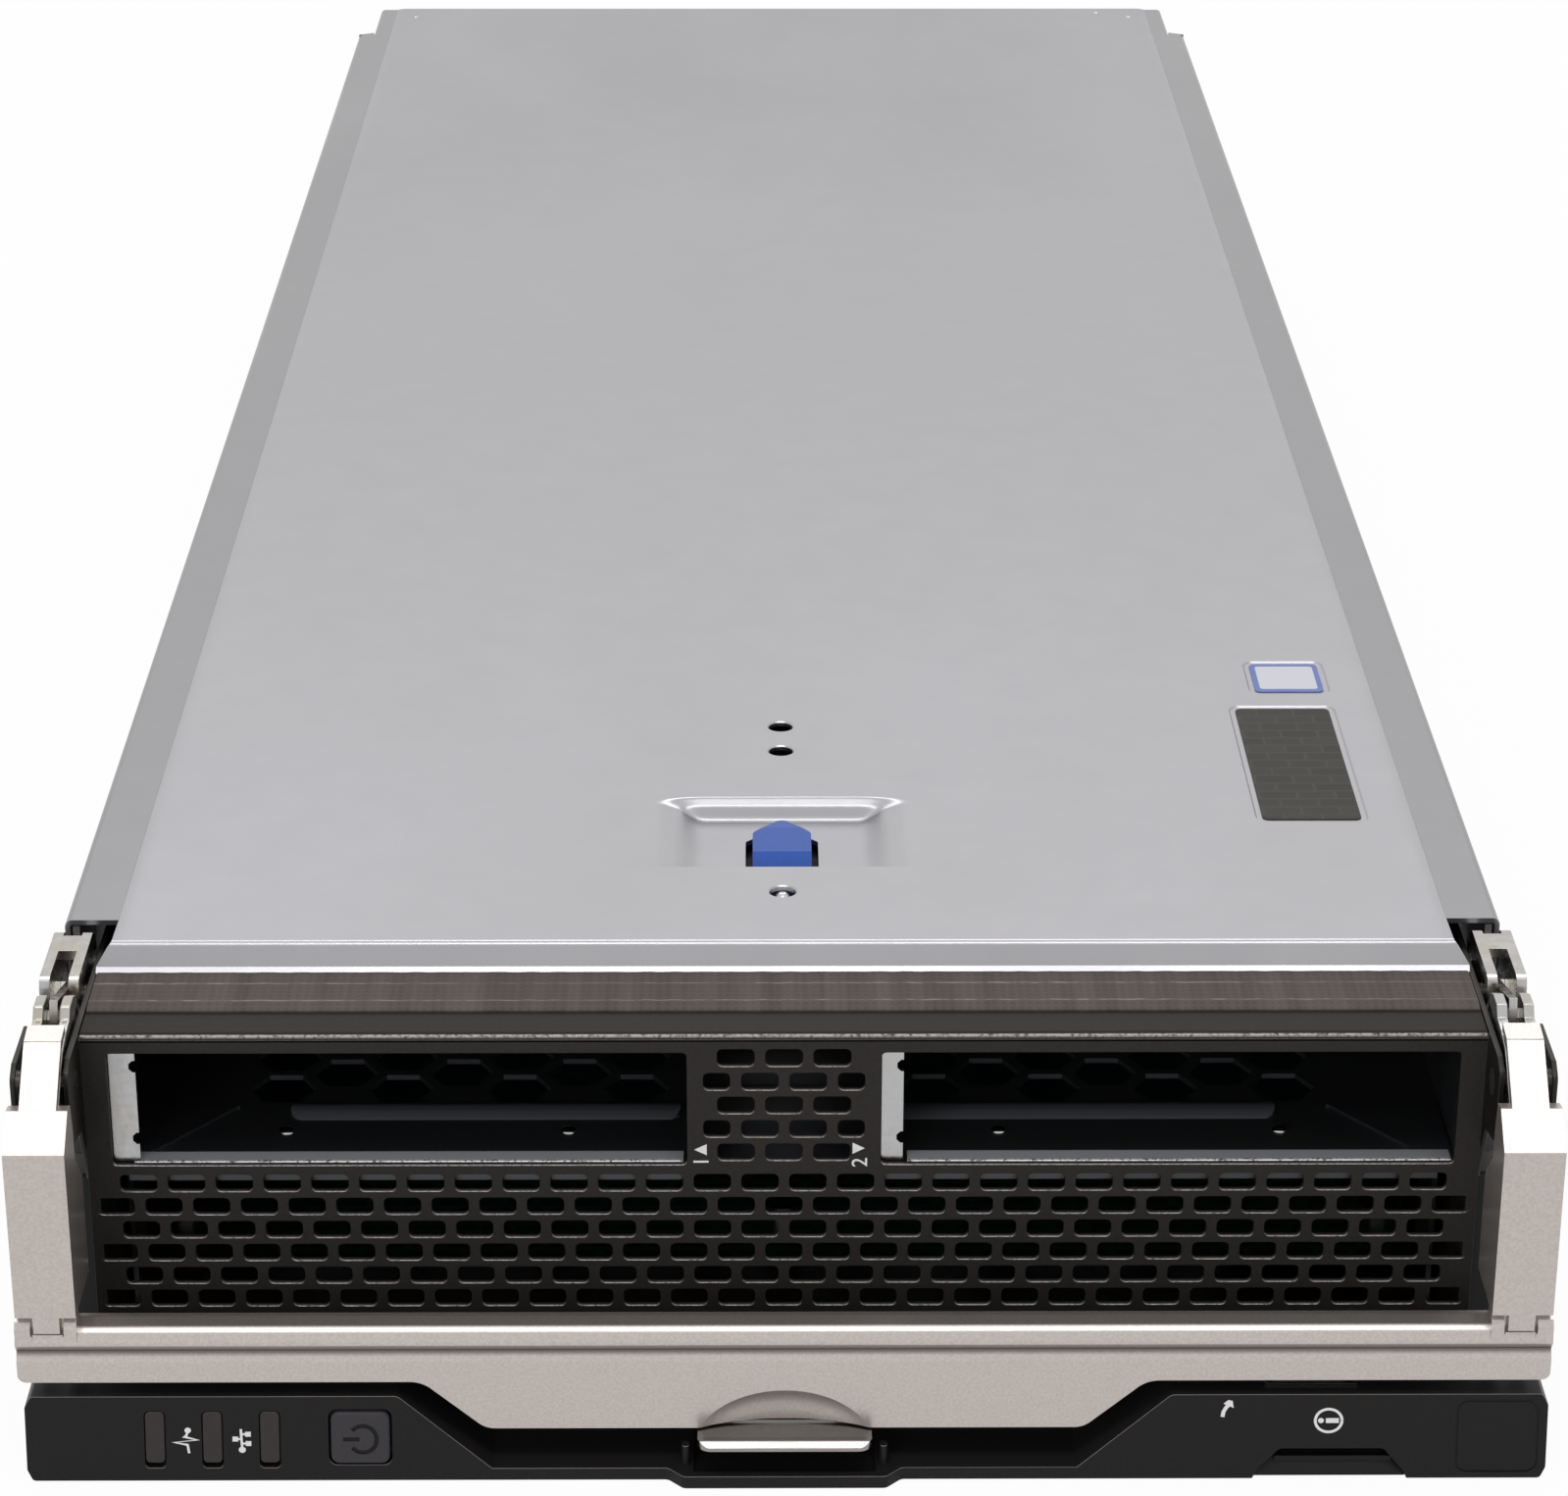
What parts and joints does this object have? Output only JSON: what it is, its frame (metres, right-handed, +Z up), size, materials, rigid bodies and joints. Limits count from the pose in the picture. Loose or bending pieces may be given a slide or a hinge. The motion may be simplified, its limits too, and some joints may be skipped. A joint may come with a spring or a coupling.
{
  "type": "blade server",
  "caption": "Low blade server on its side: slotted bezel with open drive bays, steel cover with a latch button, U-shaped swing handle with ejector cams and a black front panel.",
  "frame": {"origin": "centre of the footprint, on the underside", "axes": "+Z up through the cover, -Y the handle end, +X to the right seen from the handle end"},
  "size_m": [0.217, 0.6028, 0.0635],
  "materials": {
    "galvanised_steel": "satin",
    "black_steel": "satin",
    "dark_steel": "satin",
    "zinc_plate": "satin",
    "silver_paint": "satin",
    "black_plastic": "matte",
    "grey_plastic": "satin",
    "blue_plastic": "satin",
    "smoked_plastic": "gloss",
    "gasket_cloth": "woven",
    "circuit_board": "satin",
    "socket_plastic": "matte",
    "bare_aluminium": "satin",
    "bright_steel": "polished",
    "label_film": "satin",
    "white_label": "matte",
    "battery_film": "gloss"
  },
  "bodies": {
    "chassis": {"base_pan": "galvanised_steel", "cover_keepers": "galvanised_steel", "bezel": "black_steel", "gasket": "gasket_cloth", "drive_cage": "dark_steel", "cage_walls": "dark_steel", "cage_divider": "dark_steel", "cage_roof": "dark_steel", "cage_rivets": "bright_steel", "bay_1_guide_strip": "zinc_plate", "bay_2_guide_strip": "zinc_plate", "drive_backplane": "circuit_board", "drive_connectors": "socket_plastic", "front_panel": "black_plastic", "indicator_windows": "smoked_plastic", "front_board": "circuit_board", "usb_connector": "bright_steel", "right_pivot_bracket": "zinc_plate", "left_pivot_bracket": "zinc_plate", "bracket_screws": "bright_steel", "handle_pins": "bright_steel", "cam_pins": "bright_steel", "system_board": "circuit_board", "board_standoffs": "zinc_plate", "board_screws": "bright_steel", "cpu_sockets": "socket_plastic", "processors": "bare_aluminium", "heatsink_1": "bare_aluminium", "heatsink_2": "bare_aluminium", "heatsink_screws": "bright_steel", "memory_sockets": "socket_plastic", "memory_modules": "circuit_board", "air_baffle": "black_plastic", "battery_pack": "battery_film", "coin_cell": "bright_steel", "mezzanine_connectors": "socket_plastic", "mezzanine_card_1": "circuit_board", "mezzanine_card_2": "circuit_board", "midplane_connectors": "socket_plastic", "rear_panel": "galvanised_steel", "rear_screws": "bright_steel"},
    "cover": {"cover": "galvanised_steel", "cover_rails": "galvanised_steel", "cover_hooks": "galvanised_steel", "cover_badge_plate": "label_film", "cover_sticker": "white_label"},
    "cover_button": {"cover_button": "blue_plastic"},
    "handle": {"handle_bar": "silver_paint", "right_arm_cover": "silver_paint", "left_arm_cover": "silver_paint", "right_lever": "zinc_plate", "left_lever": "zinc_plate", "drive_pins": "bright_steel", "latch_pin": "bright_steel"},
    "release_latch": {"release_latch": "bright_steel"},
    "right_cam": {"right_cam": "zinc_plate"},
    "left_cam": {"left_cam": "zinc_plate"},
    "power_button": {"power_button": "grey_plastic"},
    "label_pull_tab": {"label_pull_tab": "black_plastic"}
  },
  "joints": [
    {"name": "cover_slide", "type": "slide", "parent": "chassis", "child": "cover", "axis": [0, 1, 0], "range_m": [0, 0.012]},
    {"name": "cover_button_press", "type": "slide", "parent": "cover", "child": "cover_button", "axis": [0, 0, -1], "range_m": [0, 0.002], "stiffness_N_per_m": 600, "springref_m": -0.001},
    {"name": "handle_swing", "type": "hinge", "parent": "chassis", "child": "handle", "pos_m": [0, -0.2806, 0.054], "axis": [-1, 0, 0], "range_deg": [0, 60]},
    {"name": "release_latch_press", "type": "hinge", "parent": "handle", "child": "release_latch", "pos_m": [0, -0.2906, 0.0116], "axis": [1, 0, 0], "range_deg": [0, 12], "stiffness_Nm_per_rad": 0.08, "springref_deg": -5.73},
    {"name": "right_cam_turn", "type": "hinge", "parent": "chassis", "child": "right_cam", "pos_m": [0.10435, -0.2536, 0.054], "axis": [1, 0, 0], "range_deg": [0, 34.89]},
    {"name": "left_cam_turn", "type": "hinge", "parent": "chassis", "child": "left_cam", "pos_m": [-0.10435, -0.2536, 0.054], "axis": [1, 0, 0], "range_deg": [0, 34.89]},
    {"name": "power_button_press", "type": "slide", "parent": "chassis", "child": "power_button", "axis": [0, 1, 0], "range_m": [0, 0.0008], "stiffness_N_per_m": 900, "springref_m": -0.0008},
    {"name": "label_tab_pull", "type": "slide", "parent": "chassis", "child": "label_pull_tab", "axis": [0, -1, 0], "range_m": [0, 0.06]}
  ],
  "couplings": [
    {"joint": "right_cam_turn", "follows": "handle_swing", "ratio": 0.58157},
    {"joint": "left_cam_turn", "follows": "handle_swing", "ratio": 0.58157}
  ]
}
